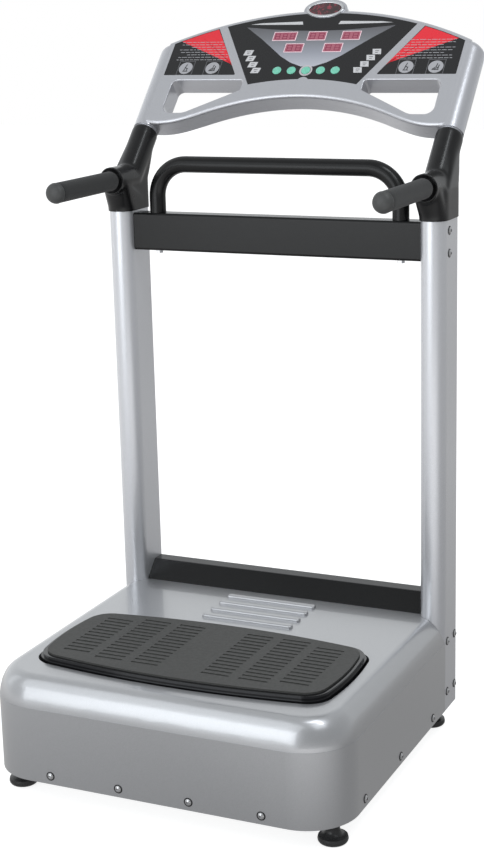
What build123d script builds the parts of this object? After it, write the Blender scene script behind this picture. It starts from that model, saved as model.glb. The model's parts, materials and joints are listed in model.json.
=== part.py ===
from build123d import *
import math
import os

# Oscillating vibration plate: a silver base with a rocking foot platform, two posts,
# a crossbar with a rear handle, two forward grips and a tilted console.
# Millimetres. +X right, +Y rearwards, +Z up, Z = 0 on the floor.
# The shapes below are built about the middle of the base, and save() moves every
# piece so that the origin is the middle of the overall footprint.

# ---- driving dimensions -------------------------------------------------------------
base_width = 700.0
base_depth = 636.0
base_lift = 46.0            # floor to the lower edge of the base
wall_height = 142.0         # lower edge to the crease under the shoulder
deck_height = 195.0         # lower edge to the flat deck
shoulder_run = 37.0
corner_radius = 95.0
skin = 3.0                  # moulded wall
gap = 0.4                   # clearance between neighbouring pieces
run_fit = 0.05              # radial clearance of a running fit

deck_z = base_lift + deck_height
front_y = -base_depth / 2
rear_y = base_depth / 2
half_base = base_width / 2
overall_mid_y = 128.0       # middle of the overall depth, seen from the base's middle

post_width = 50.0
post_depth = 90.0
post_wall = 2.0
post_x = half_base - post_width / 2
post_y = rear_y - post_depth / 2
post_top = 1010.0

bar_low = 932.0
bar_high = 1006.0
bar_front = 251.0
bar_depth = 40.0
bar_mid_y = bar_front + bar_depth / 2
bar_half = half_base - post_width

handle_tube = 32.0
handle_x = 254.0
handle_z = 1101.0
handle_bend = 64.0

grip_x = 321.0
grip_z = 1073.0
grip_tube = 28.0
grip_foam = 38.0
grip_root = 203.0
grip_end = -5.0
grip_tip = -20.0
neck_tube = 38.0
neck_y = 278.0

console_tilt = 43.5         # face, from the vertical
console_y = 407.0
console_z = 1245.4
console_thick = 40.0
seam_depth = 25.0
rail_radius = 25.5
rail_end_round = 14.0
rail_x = 321.0
top_arc = 685.0             # radius of the console's upper edge
top_arc_v = -491.0          # its centre, along the face
window_arc = 675.0
stub_low = -114.0
rim_v = -99.0
sleeve_wall = 2.5
sleeve_radius = 26.0

plate_y = -106.0
plate_half_x = 294.0
plate_half_y = 144.0
plate_top = 255.0
mat_thick = 5.0
rock_limit = 1.0            # degrees each way

crank_y = plate_y
crank_z = 131.0
crank_radius = 12.5
throw = 1.9
rod_x = 110.0
eccentric_radius = 26.0
pivot_z = 205.0
pivot_radius = 12.5
beam_top = 88.0
pulley_x = -190.0
crank_pulley_radius = 46.0
motor_pulley_radius = 23.0
motor_y = 112.0
motor_z = 147.0
motor_radius = 52.0

foot_x = 311.0
foot_front_y = -247.0
foot_rear_y = 281.0
button_pitch = 31.0
button_v = 36.5
button_radius = 9.2

screw_radius = 3.5
screw_head = 6.8
screw_dome = 4.0
screw_clear = 0.3

tilt = math.radians(console_tilt)
face_plane = Plane(
    origin=(0, console_y, console_z),
    x_dir=(1, 0, 0),
    z_dir=(0, -math.cos(tilt), math.sin(tilt)),
)


# ---- helpers ------------------------------------------------------------------------
def save(name, *solids):
    """Write one node, moved to the overall origin."""
    moved = [Pos(0, -overall_mid_y, 0) * solid for solid in solids]
    shape = moved[0] if len(moved) == 1 else Compound(children=moved)
    export_step(shape, f"parts/{name}.step")


def outline(points, radii):
    """Closed face through the points, each corner rounded by its own radius."""
    return make_face(FilletPolyline(*points, radius=radii, close=True))


def slab(face, low, high):
    """Extrude a flat XY face between two heights."""
    return extrude(Pos(0, 0, low) * face, amount=high - low)


def block(x_range, y_range, z_range):
    """Box between the given limits."""
    spans = [high - low for low, high in (x_range, y_range, z_range)]
    centre = [(high + low) / 2 for low, high in (x_range, y_range, z_range)]
    return Pos(*centre) * Box(*spans)


def rod_between(start, end, radius):
    """Round bar from one point to another."""
    axis = Vector(*end) - Vector(*start)
    plane = Plane(origin=start, z_dir=axis)
    return extrude(plane * Circle(radius), amount=axis.length)


def tube_between(start, end, outer, inner):
    return rod_between(start, end, outer) - rod_between(start, end, inner)


def mirrored(shape):
    """The same shape on the other side of the middle plane."""
    return mirror(shape, about=Plane.YZ)


def button_head(position, direction, shank):
    """Domed hex-socket screw whose head sits on position, head towards direction."""
    plane = Plane(origin=position, z_dir=direction)
    ball = (screw_head**2 + screw_dome**2) / (2 * screw_dome)
    dome = Pos(0, 0, screw_dome - ball) * Sphere(ball)
    dome &= Pos(0, 0, screw_dome / 2) * Box(20, 20, screw_dome)
    socket = extrude(RegularPolygon(2.9, 6), amount=5)
    body = dome - Pos(0, 0, 1.6) * socket
    return plane * (body + Pos(0, 0, -shank / 2) * Cylinder(screw_radius, shank))


# ---- base ---------------------------------------------------------------------------
def base_outline(inset):
    """Plan of the base: round front corners, square rear corners."""
    side = half_base - inset
    front = front_y + inset
    rear = rear_y
    radius = corner_radius - inset
    across = Line((-side, rear), (side, rear))
    right = Line((side, rear), (side, front + radius))
    right_arc = RadiusArc((side, front + radius), (side - radius, front), radius)
    ahead = Line((side - radius, front), (-side + radius, front))
    left_arc = RadiusArc((-side + radius, front), (-side, front + radius), radius)
    left = Line((-side, front + radius), (-side, rear))
    return make_face([across, right, right_arc, ahead, left_arc, left])


def base_solid(inset, drop):
    """Base body: upright walls, a crease, then a rounded shoulder up to the deck."""
    crease = base_lift + wall_height
    rise = deck_height - wall_height - drop
    walls = slab(base_outline(inset), base_lift, crease)
    first_angle = 10
    start = math.sin(math.radians(first_angle))
    levels = []
    for angle in range(first_angle, 91, 16):
        turn = math.radians(angle)
        edge = inset + shoulder_run * (1 - math.cos(turn))
        lift = (math.sin(turn) - start) / (1 - start)
        levels.append(Pos(0, 0, crease + rise * lift) * base_outline(edge))
    return walls + loft(levels)


def plate_outline(inset):
    """Plan of the platform: four shallow arcs joined by round corners."""
    across = plate_half_x - inset
    along = plate_half_y - inset
    side_bow = 12.0
    front_bow = 24.0
    x = across - side_bow
    y = along - front_bow
    edges = [
        ThreePointArc((-x, -y), (0, -along), (x, -y)),
        ThreePointArc((x, -y), (across, 0), (x, y)),
        ThreePointArc((x, y), (0, along), (-x, y)),
        ThreePointArc((-x, y), (-across, 0), (-x, -y)),
    ]
    face = make_face(edges)
    return Pos(0, plate_y) * fillet(face.vertices(), 46 - inset / 2)


def post_outline(margin):
    """Plan of the right post: round front, flat sides and rear."""
    half = post_width / 2 + margin
    rear = rear_y + margin
    middle = rear_y - post_depth + post_width / 2
    front = ThreePointArc((post_x + half, middle), (post_x, middle - half), (post_x - half, middle))
    left = Line((post_x - half, middle), (post_x - half, rear))
    back = Line((post_x - half, rear), (post_x + half, rear))
    right = Line((post_x + half, rear), (post_x + half, middle))
    face = make_face([front, left, back, right])
    corners = face.vertices().sort_by(Axis.Y)[-2:]
    return fillet(corners, 4.0)


def post_pockets(margin, low, high):
    """Room for both posts, square at the rear corners."""
    right = slab(post_outline(margin), low, high)
    right += block(
        (bar_half - margin, half_base + margin), (rear_y - 9, rear_y + margin), (low, high)
    )
    return right + mirrored(right)


def base_screw_places():
    """Position and outward direction of every screw round the foot of the base."""
    height = base_lift + 16
    front = [(x, front_y, height) for x in (-208, -69.3, 69.3, 208)]
    sides = [(half_base, y, height) for y in (-191, -8, 175)]
    places = [(place, (0, -1, 0)) for place in front]
    for x, y, z in sides:
        places.append(((x, y, z), (1, 0, 0)))
        places.append(((-x, y, z), (-1, 0, 0)))
    return places


def base_cover():
    """Silver moulded cover with the platform opening and four raised deck bars."""
    body = base_solid(0, 0) - base_solid(skin, skin)
    opening = plate_outline(-4)
    collar = slab(plate_outline(-4 - skin), deck_z - 20, deck_z - 1)
    body = body + collar - slab(opening, deck_z - 40, deck_z + 10)
    body -= post_pockets(gap, base_lift - 1, deck_z + 10)
    rear_half = bar_half - gap
    body += block((-rear_half, rear_half), (rear_y - skin, rear_y), (base_lift, deck_z))
    for step in range(4):
        body += Pos(0, 92 + step * 38.5, deck_z) * deck_bar()
    for place, direction in base_screw_places():
        body -= rod_between(
            Vector(*place) + Vector(*direction) * 2,
            Vector(*place) - Vector(*direction) * 8,
            screw_radius + screw_clear,
        )
    return body - power_cutout()


def deck_bar():
    """Raised bar moulded across the deck, rounded on top."""
    bar = fillet(Box(190, 15, 12).edges().filter_by(Axis.Z), 5)
    bar &= Pos(0, 0, 2) * Box(200, 20, 8)
    return fillet(bar.edges().group_by(Axis.Z)[-1], 4)


def base_screws():
    return [button_head(place, direction, 9) for place, direction in base_screw_places()]


def chassis():
    """Welded steel chassis: an angle-section rim and open channel beams."""
    rim = slab(base_outline(skin + 1), base_lift + 2, beam_top)
    rim -= slab(base_outline(skin + 4), base_lift + 5, beam_top + 1)
    rim -= slab(base_outline(skin + 34), base_lift, beam_top)
    rim &= block((-half_base, half_base), (front_y, rear_y - skin - 1), (0, beam_top))
    rim -= post_pockets(gap, 0, deck_z)
    inner = half_base - skin - 4.5
    beams = []
    for y in (-215, 5, 112):
        beams.append(channel_along_x(y, inner))
    for x in (-148, 148):
        beams.append(channel_along_y(x, front_y + skin + 4.5, rear_y - skin - 2))
    frame = rim
    for beam in beams:
        frame += beam
    frame += chassis_pads()
    for x in (-foot_x, foot_x):
        frame -= Pos(x, foot_front_y, base_lift + 20) * Cylinder(5 + run_fit, 60)
    for place, direction in base_screw_places():
        frame -= rod_between(
            Vector(*place), Vector(*place) - Vector(*direction) * 12, screw_radius + run_fit
        )
    return frame


def channel_along_x(y, half):
    outer = block((-half, half), (y - 15, y + 15), (base_lift + 5, beam_top))
    return outer - block((-half - 1, half + 1), (y - 12, y + 12), (base_lift, beam_top - 3))


def channel_along_y(x, low, high):
    outer = block((x - 15, x + 15), (low, high), (base_lift + 5, beam_top))
    return outer - block((x - 12, x + 12), (low - 1, high + 1), (base_lift, beam_top - 3))


def chassis_pads():
    """Pedestals for the platform bearings and bosses for the front feet."""
    pads = Part()
    for y in (-215, 5):
        pads += block((-45, 45), (y - 12, y + 12), (beam_top - 1, pivot_z - 34))
        pads -= block((-37, 37), (y - 13, y + 13), (beam_top, pivot_z - 40))
    for x in (-foot_x, foot_x):
        pads += Pos(x, foot_front_y, base_lift + 12) * Box(30, 40, 20)
    return pads


def bottom_plate():
    """Thin steel tray that closes the underside."""
    sheet = slab(base_outline(skin + 6), base_lift, base_lift + 1.6)
    sheet -= post_pockets(gap + 1, base_lift - 1, base_lift + 5)
    sheet &= block((-half_base, half_base), (front_y, rear_y - skin - 2), (0, deck_z))
    for x in (-foot_x, foot_x):
        sheet -= Pos(x, foot_front_y, base_lift) * Cylinder(15, 10)
    for x in range(-240, 241, 60):
        sheet -= Pos(x, 60, base_lift) * Box(8, 60, 10)
    return sheet


# ---- feet ---------------------------------------------------------------------------
def foot(x, y):
    """Levelling foot: a dished rubber pad moulded round a threaded stud."""
    profile = [
        Line((0, 0), (20, 0)),
        ThreePointArc((20, 0), (25.5, 3), (27, 9)),
        Line((27, 9), (26, 13)),
        ThreePointArc((26, 13), (17, 17), (12.5, 27)),
        Line((12.5, 27), (12.5, 36)),
        Line((12.5, 36), (5, 36)),
        Line((5, 36), (5, 78)),
        Line((5, 78), (0, 78)),
        Line((0, 78), (0, 0)),
    ]
    pad = revolve(Plane.XZ * make_face(profile), axis=Axis.Z)
    return Pos(x, y, 0) * pad


def lock_nuts():
    """Hex nuts that lock the four studs under the base."""
    nuts = []
    for x in (-foot_x, foot_x):
        for y in (foot_front_y, foot_rear_y):
            nut = extrude(RegularPolygon(9.8, 6), amount=8) - Cylinder(5 + run_fit, 30)
            nuts.append(Pos(x, y, base_lift - 8.5) * nut)
    return nuts


def post_plug():
    """Threaded plug in the lower end of the right post, for the rear foot."""
    plug = slab(post_outline(-post_wall - 0.1), base_lift, base_lift + 24)
    return plug - Pos(foot_x, foot_rear_y, base_lift) * Cylinder(5 + run_fit, 100)


# ---- posts, bar and handle ----------------------------------------------------------
def post_screw_places():
    """Right-hand positions of the bolts through the posts."""
    low = [(half_base, y, base_lift + z) for y in (262, 306) for z in (37, 142)]
    high = [(half_base, bar_mid_y - 4, bar_low + z) for z in (16, 58)]
    return low + high


def post():
    """Flat-oval steel tube, the right one."""
    tube = slab(post_outline(0), base_lift, post_top)
    tube -= slab(post_outline(-post_wall), base_lift - 1, post_top + 1)
    for x, y, z in post_screw_places():
        tube -= rod_between((x + 1, y, z), (x - 6, y, z), screw_radius + screw_clear)
    return tube


def post_screws():
    screws = []
    for x, y, z in post_screw_places():
        screws.append(button_head((x, y, z), (1, 0, 0), 8))
        screws.append(button_head((-x, y, z), (-1, 0, 0), 8))
    return screws


def crossbar():
    """Black rectangular tube between the posts."""
    height = bar_high - bar_low
    middle = (bar_high + bar_low) / 2
    section = RectangleRounded(bar_depth, height, 5) - RectangleRounded(
        bar_depth - 4, height - 4, 3
    )
    plane = Plane(origin=(-bar_half + gap, bar_mid_y, middle), x_dir=(0, 1, 0), z_dir=(1, 0, 0))
    bar = extrude(plane * section, amount=2 * (bar_half - gap))
    for x in (-handle_x, handle_x):
        bar -= Pos(x, bar_mid_y, middle) * Cylinder(4.2, height + 10)
    return bar


def rear_handle():
    """U-shaped tube standing on the crossbar."""
    plane = Plane(origin=(0, bar_mid_y, 0), x_dir=(1, 0, 0), z_dir=(0, -1, 0))
    x = handle_x
    low = bar_high + 0.1
    path = FilletPolyline((-x, low), (-x, handle_z), (x, handle_z), (x, low), radius=handle_bend)
    section = Plane(origin=(-x, bar_mid_y, low), z_dir=(0, 0, 1)) * Circle(handle_tube / 2)
    tube = sweep(section, path=plane * path)
    for side in (-x, x):
        tube -= Pos(side, bar_mid_y, low) * Cylinder(4.2, 60)
    return tube


def handle_bolts():
    """Two bolts that hold the rear handle from under the crossbar."""
    bolts = []
    for x in (-handle_x, handle_x):
        head = extrude(RegularPolygon(7.5, 6), amount=5.5)
        washer = Pos(0, 0, 6) * Cylinder(9, 1)
        shank = Pos(0, 0, 6.5 + 49) * Cylinder(4, 98)
        bolts.append(Pos(x, bar_mid_y, bar_low - 6.6) * (head + washer + shank))
    return bolts


def lower_panel():
    """Black channel between the posts at the rear of the deck."""
    low = deck_z + gap
    top = deck_z + 34
    plane = Plane(origin=(-bar_half + gap, 0, 0), x_dir=(0, 1, 0), z_dir=(1, 0, 0))
    outer = outline(
        [(250, low), (284, top), (rear_y - 1, top), (rear_y - 1, low)], [0.5, 6, 4, 0.5]
    )
    inner = Polygon(
        (254.5, low - 1), (285.5, top - 2.5), (rear_y - 3.5, top - 2.5), (rear_y - 3.5, low - 1),
        align=None,
    )
    return extrude(plane * (outer - inner), amount=2 * (bar_half - gap))


# ---- grips and necks ----------------------------------------------------------------
def on_face(u, v, w):
    """A point given across, up and out of the console's face."""
    return face_plane.from_local_coords(Vector(u, v, w))


def sleeve_form(shrink):
    """Three-way sleeve cover: post cap, tilted neck and forward collar."""
    radius = sleeve_radius - shrink
    upright = slab(post_outline(1.5 - shrink), post_top, grip_z + 32 - shrink)
    roof = Plane(origin=on_face(rail_x, rim_v, -seam_depth + sleeve_radius - shrink),
                 z_dir=face_plane.z_dir)
    upright -= extrude(roof * Rectangle(400, 400), amount=200)
    low = Vector(grip_x, neck_y, grip_z)
    rim = on_face(rail_x, rim_v, -seam_depth)
    along = (rim - low).normalized()
    neck = rod_between(low - along * 10, rim + along * shrink, radius)
    collar = rod_between(low, (grip_x, 206 - shrink, grip_z), radius)
    return upright + neck + collar + Pos(*low) * Sphere(radius)


def sleeve():
    """Right sleeve cover, open at its three ends."""
    shell = sleeve_form(0) - sleeve_form(sleeve_wall)
    return shell - slab(post_outline(1.5 - sleeve_wall), post_top - 1, post_top + 5)


def handlebar():
    """Welded steel joint: plug in the post, neck up to the console, grip tube ahead."""
    plug = slab(post_outline(-post_wall - 0.2), post_top - 70, post_top + 42)
    low = Vector(grip_x, neck_y, grip_z)
    high = on_face(rail_x, 40, -seam_depth)
    foot_end = low + (low - high).normalized() * 30
    neck = rod_between(foot_end, high, neck_tube / 2)
    bar = rod_between((grip_x, neck_y, grip_z), (grip_x, grip_end, grip_z), grip_tube / 2)
    for x, y, z in post_screw_places():
        plug -= rod_between((x, y, z), (x - 10, y, z), screw_radius + run_fit)
    return plug + neck + bar


def grip():
    """Foam grip, the right one."""
    foam = tube_between(
        (grip_x, grip_root, grip_z), (grip_x, grip_end, grip_z), grip_foam / 2, grip_tube / 2
    )
    return foam


def grip_cap():
    """Domed end cap."""
    depth = grip_end - grip_tip
    flat = 7.0
    half = grip_foam / 2 + 0.5
    profile = [
        Line((0, 0), (half, 0)),
        ThreePointArc((half, 0), (half - 3.4, depth * 0.72), (flat, depth)),
        Line((flat, depth), (0, depth)),
        Line((0, depth), (0, 0)),
    ]
    dome = revolve(Plane.XZ * make_face(profile), axis=Axis.Z)
    return Pos(grip_x, grip_end, grip_z) * Rot(90, 0, 0) * dome


# ---- console ------------------------------------------------------------------------
def console_outline(inset):
    """Face of the console between the two side rails."""
    side = rail_x - inset
    radius = top_arc - inset
    high = top_arc_v + math.sqrt(radius**2 - side**2)
    base = inset - 93
    waist = [(257, base), (180, inset - 64), (0, inset - 28), (-180, inset - 64), (-257, base)]
    top = ThreePointArc((-side, high), (0, top_arc_v + radius), (side, high))
    right = Line((side, high), (side, base))
    low = Spline((side, base), *waist, (-side, base))
    left = Line((-side, base), (-side, high))
    return make_face([top, right, low, left])


def badge_oval(margin):
    return Pos(0, 194) * Ellipse(40 + margin, 21.5 + margin)


def hand_hole(margin):
    """Right-hand opening in the face, enlarged by margin."""
    m = margin
    corners = [(129 - m, 13 + m), (284.5 + m, 13 + m), (285.5 + m, -70 - m), (238 - m, -70 - m),
               (129 - m, -12 - m)]
    return outline(corners, [5 + m, 12 + m, 18 + m, 34 + m, 5 + m])


def console_panel():
    """Flat part of the console with both hand holes and its front edges rounded."""
    panel = slab(console_outline(0), -console_thick, 0)
    for hole in (hand_hole(0), mirrored(hand_hole(0))):
        panel -= slab(hole, -console_thick - 10, 10)
    long_edge = 400
    outer = panel.edges().group_by(Axis.Z)[-1].filter_by(lambda e: e.length > long_edge)
    panel = fillet(outer, 7)
    rims = panel.edges().group_by(Axis.Z)[-1].filter_by(lambda e: in_hand_hole(e.center()))
    return fillet(rims, 2.5)


def in_hand_hole(point):
    """Whether a point of the face lies within the two hand holes' limits."""
    return 120 < abs(point.X) < 290 and -80 < point.Y < 20


def console_block():
    """Whole console outside, in face coordinates."""
    body = console_panel() + slab(badge_oval(6), -seam_depth, -0.5)
    for x in (-rail_x, rail_x):
        body += side_rail(x)
        body += rod_between((x, stub_low, -seam_depth), (x, rim_v + 3, -seam_depth), 23)
    return body


def side_rail(x):
    """Round side tube whose top end follows the console's upper edge, well rounded."""
    tube = rod_between((x, rim_v + 2, -seam_depth), (x, 140, -seam_depth), rail_radius)
    reach = seam_depth + rail_radius + 5
    tube &= slab(Pos(0, top_arc_v) * Circle(top_arc), -reach, reach)
    end = tube.faces().sort_by(Axis.Y)[-1]
    return fillet(end.edges(), rail_end_round)


def console_cavity():
    """Hollow inside of the console, in face coordinates."""
    inner = console_outline(skin + 4)
    for hole in (hand_hole(skin), mirrored(hand_hole(skin))):
        inner -= hole
    room = slab(inner, -console_thick + skin, -skin - 1.4)
    for x in (-rail_x, rail_x):
        room += rod_between((x, stub_low - 1, -seam_depth), (x, 60, -seam_depth), 19.6)
    return room


def side_window(margin):
    """Right-hand label recess."""
    m = margin
    shape = outline([(150 - 1.6 * m, 26 - m), (310 + m, 26 - m), (310 + m, 125), (228, 160)],
                    [2, 2, 2, 2])
    return shape & Pos(0, top_arc_v) * Circle(window_arc + m)


def centre_window(margin):
    """Middle label recess: straight sides, arched top and bottom, small notch."""
    m = margin
    corner = (115 + 1.2 * m, 1 - m)
    arch = ThreePointArc((-corner[0], corner[1]), (0, 14.5 - m), corner)
    right = Line(corner, (215 + 1.2 * m, 172))
    top = Line((215 + 1.2 * m, 172), (0, 230))
    top_left = Line((0, 230), (-215 - 1.2 * m, 172))
    left = Line((-215 - 1.2 * m, 172), (-corner[0], corner[1]))
    shape = make_face([arch, right, top, top_left, left])
    shape &= Pos(0, top_arc_v) * Circle(window_arc + m)
    shape -= Pos(0, 7.5) * Circle(12.5 - m)
    return shape - badge_oval(1 - m)


def display_places():
    """Centre and size of each number display."""
    upper = [(-69, 125, 48, 20), (0, 125, 37, 20), (72.5, 125, 37, 20)]
    return upper + [(-41.5, 94.5, 37, 20), (41.5, 94.5, 37, 20)]


def button_places():
    return [(step * button_pitch, button_v) for step in (-2, -1, 0, 1, 2)]


def console_front():
    """Front shell with label recesses, button holes and display windows."""
    half = console_block() & Pos(0, 0, 50 - seam_depth) * Box(900, 700, 100)
    half -= console_cavity()
    for window in (centre_window(0.2), side_window(0.2), mirrored(side_window(0.2))):
        half -= slab(window, -1.4, 5)
    for u, v in button_places():
        half -= Pos(u, v, 0) * Cylinder(button_radius + 0.6, 20)
    for u, v, wide, tall in display_places():
        half -= Pos(u, v, 0) * Box(wide + 1, tall + 1, 20)
    half -= slab(badge_oval(0.2), -3, 5)
    return face_plane.location * half


def console_back():
    """Rear shell."""
    half = console_block() & Pos(0, 0, -50 - seam_depth - 0.1) * Box(900, 700, 100)
    half -= console_cavity()
    for u, v in console_screw_places():
        half += Pos(u, v, -31) * Cylinder(5, 12)
        half -= Pos(u, v, -35) * Cylinder(1.8, 40)
        half -= Pos(u, v, -console_thick) * Cylinder(4.2, 5)
    return face_plane.location * half


def console_screw_places():
    return [(u, v) for u, v in ((-285, 85), (285, 85), (-110, 160), (110, 160), (-90, -22), (90, -22))]


def console_screws():
    """Screws in the rear shell's counterbores."""
    screws = []
    for u, v in console_screw_places():
        head = Pos(u, v, -console_thick + 1.4) * Cylinder(3.6, 2)
        shank = Pos(u, v, -console_thick + 9) * Cylinder(1.7, 14)
        screws.append(face_plane.location * (head + shank))
    return screws


def centre_label():
    """Printed film over the controls, with openings for displays and buttons."""
    film = slab(centre_window(0), -1.4, -0.3)
    for u, v in button_places():
        film -= Pos(u, v, 0) * Cylinder(button_radius + 0.4, 10)
    for u, v, wide, tall in display_places():
        film -= Pos(u, v, 0) * Box(wide, tall, 10)
    return face_plane.location * film


def side_label():
    return face_plane.location * slab(side_window(0), -1.4, -0.3)


def displays():
    """Number displays standing on the control board."""
    units = []
    for u, v, wide, tall in display_places():
        unit = Pos(u, v, -6.4) * Box(wide - 0.4, tall - 0.4, 12)
        units.append(face_plane.location * unit)
    return units


def control_board():
    """Circuit board behind the face, with a switch under each button."""
    board = Pos(0, 84, -13.3) * Box(210, 130, 1.6)
    board += Pos(-60, 60, -18) * Box(40, 24, 8)
    board += Pos(60, 55, -17) * Box(24, 16, 6)
    for u, v in button_places():
        board += Pos(u, v, -11.2) * Box(7, 7, 3)
    return face_plane.location * board


def button(index):
    """Domed push button with a retaining flange behind the shell."""
    u, v = button_places()[index]
    dome = Pos(0, 0, -22.0) * Sphere(24.2) & Pos(0, 0, 0.5) * Cylinder(button_radius, 6)
    stem = Pos(0, 0, -4.2) * Cylinder(button_radius, 5)
    flange = Pos(0, 0, -5.4) * Cylinder(button_radius + 1.6, 1.2)
    tip = Pos(0, 0, -7.5) * Cylinder(2, 1.6)
    return face_plane.location * (Pos(u, v, 0) * (dome + stem + flange + tip))


def badge_ring():
    ring = slab(badge_oval(-0.2) - badge_oval(-5.5), -2.9, 2.5)
    ring = fillet(ring.edges().group_by(Axis.Z)[-1], 1.2)
    return face_plane.location * ring


def badge_lens():
    dome = slab(badge_oval(-5.7), -2.9, 1.2)
    return face_plane.location * fillet(dome.edges().group_by(Axis.Z)[-1], 1.5)


# ---- drive --------------------------------------------------------------------------
def rocker_frame():
    """Steel frame under the platform, with pivot lugs and rod forks."""
    skin_plate = slab(plate_outline(32), 238, 242)
    for x in (-200, 0, 200):
        skin_plate -= Pos(x, plate_y, 240) * Box(90, 90, 10)
    frame = skin_plate
    for y in (-185, -25):
        frame += block((-225, 225), (y - 10, y + 10), (226, 239))
        lug = block((-20, 20), (y - 8, y + 8), (pivot_z, 227))
        frame += lug + rod_between((0, y - 8, pivot_z), (0, y + 8, pivot_z), 20)
        frame -= rod_between((0, y - 9, pivot_z), (0, y + 9, pivot_z), pivot_radius)
    for x in (-rod_x, rod_x):
        frame += block((x - 22, x + 22), (-190, -20), (234, 239))
        for side in (-1, 1):
            low = x + side * 12
            cheek = block((low - 2.5, low + 2.5), (plate_y - 16, plate_y + 16), (190, 236))
            frame += cheek
        frame -= rod_between((x - 16, plate_y, pivot_z), (x + 16, plate_y, pivot_z), 5 + run_fit)
    return frame


def pivot_shaft():
    """Front-to-back shaft that the platform rocks on."""
    return rod_between((0, -238, pivot_z), (0, 28, pivot_z), pivot_radius)


def bearing_block(plane, radius, base):
    """Pillow block with its bore along the plane's normal."""
    foot_plate = Pos(0, -base + 4, 0) * Box(84, 8, 22)
    housing = extrude(Circle(radius + 13), amount=10, both=True)
    web = Pos(0, -base / 2, 0) * Box(2 * radius + 20, base - 1, 20)
    body = foot_plate + housing + web
    body -= Cylinder(radius + run_fit, 60)
    for x in (-34, 34):
        body -= Pos(x, -base + 4, 0) * Rot(90, 0, 0) * Cylinder(4, 20)
    return plane * body


def pivot_bearings():
    blocks = []
    for y in (-215, 5):
        plane = Plane(origin=(0, y, pivot_z), x_dir=(1, 0, 0), z_dir=(0, -1, 0))
        blocks.append(bearing_block(plane, pivot_radius, 33.9))
    return blocks


def crank_bearings():
    blocks = []
    for x in (-148, 148):
        plane = Plane(origin=(x, crank_y, crank_z), x_dir=(0, 1, 0), z_dir=(1, 0, 0))
        blocks.append(bearing_block(plane, crank_radius, crank_z - beam_top - 0.1))
    return blocks


def crank_shaft():
    """Cross shaft with two eccentric discs half a turn apart."""
    shaft = rod_between((-214, crank_y, crank_z), (168, crank_y, crank_z), crank_radius)
    for x, side in ((-rod_x, -1), (rod_x, 1)):
        y = crank_y + side * throw
        shaft += rod_between((x - 8, y, crank_z), (x + 8, y, crank_z), eccentric_radius)
    return shaft


def connecting_rod(side):
    """Rod with a large bearing eye on its eccentric and a wide upper eye."""
    x = side * rod_x
    y = crank_y + side * throw
    low = rod_between((x - 7, y, crank_z), (x + 7, y, crank_z), 35)
    high = rod_between((x - 7, y, pivot_z), (x + 7, y, pivot_z), 15.5)
    stem = block((x - 6, x + 6), (y - 10, y + 10), (crank_z + 20, pivot_z - 8))
    body = low + high + stem
    body -= rod_between((x - 9, y, crank_z), (x + 9, y, crank_z), eccentric_radius + run_fit)
    return body - rod_between((x - 9, y, pivot_z), (x + 9, y, pivot_z), 10)


def rod_pins():
    pins = []
    for x in (-rod_x, rod_x):
        pins.append(rod_between((x - 15, plate_y, pivot_z), (x + 15, plate_y, pivot_z), 5))
    return pins


def pulley(y, z, radius, bore):
    """Flat-belt pulley with two flanges."""
    body = rod_between((pulley_x - 10, y, z), (pulley_x + 10, y, z), radius)
    for x in (pulley_x - 12, pulley_x + 10):
        body += rod_between((x, y, z), (x + 2, y, z), radius + 4)
    return body - rod_between((pulley_x - 13, y, z), (pulley_x + 13, y, z), bore)


def drive_belt():
    """Endless belt round both pulleys, a hair clear of each."""
    dy = motor_y - crank_y
    dz = motor_z - crank_z
    reach = math.hypot(dy, dz)

    def loop(extra):
        big = crank_pulley_radius + extra
        small = motor_pulley_radius + extra
        lean = math.asin((big - small) / reach)
        c, s = math.cos(lean), math.sin(lean)
        upper = Line((big * s, big * c), (reach + small * s, small * c))
        nose = ThreePointArc((reach + small * s, small * c), (reach + small, 0),
                             (reach + small * s, -small * c))
        lower = Line((reach + small * s, -small * c), (big * s, -big * c))
        tail = ThreePointArc((big * s, -big * c), (-big, 0), (big * s, big * c))
        return make_face([upper, nose, lower, tail])

    plane = Plane(origin=(pulley_x - 8, crank_y, crank_z), x_dir=(0, dy, dz), z_dir=(1, 0, 0))
    return extrude(plane * (loop(3.4) - loop(0.4)), amount=16)


def motor_body():
    """Direct-current motor can with end bells."""
    can = rod_between((-150, motor_y, motor_z), (10, motor_y, motor_z), motor_radius)
    bell = rod_between((-158, motor_y, motor_z), (-150, motor_y, motor_z), motor_radius - 6)
    rear = rod_between((10, motor_y, motor_z), (26, motor_y, motor_z), motor_radius - 12)
    body = can + bell + rear
    return body - rod_between((-160, motor_y, motor_z), (-60, motor_y, motor_z), 8 + run_fit)


def motor_shaft():
    return rod_between((-204, motor_y, motor_z), (-70, motor_y, motor_z), 8)


def motor_bracket():
    """Cradle that holds the motor on the chassis."""
    cradle = block((-130, -10), (motor_y - 58, motor_y + 58), (beam_top + 0.1, motor_z - 20))
    cradle -= rod_between((-140, motor_y, motor_z), (0, motor_y, motor_z), motor_radius + 0.1)
    return cradle - block((-110, -30), (motor_y - 70, motor_y + 70), (beam_top + 6, deck_z))


def speed_controller():
    """Finned drive electronics box."""
    box = block((60, 200), (70, 160), (beam_top + 0.1, beam_top + 30))
    for x in range(68, 200, 16):
        box += block((x, x + 5), (74, 156), (beam_top + 29, beam_top + 46))
    return box


# ---- platform -----------------------------------------------------------------------
def platform_tray():
    """Black moulded platform with a deep skirt and a stepped lip."""
    top = plate_top - mat_thick
    body = slab(plate_outline(0), deck_z - 14, deck_z + 4)
    body += slab(plate_outline(3.5), deck_z + 3, top + 1.5)
    body -= slab(plate_outline(5), deck_z - 15, top - 5)
    body -= slab(plate_outline(9.9), top, top + 5)
    for y in (-235, 20):
        ribs = block((-210, 210), (y - 2, y + 2), (242.1, top - 4)) & slab(
            plate_outline(6), 200, 260
        )
        body += ribs
    return body


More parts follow.
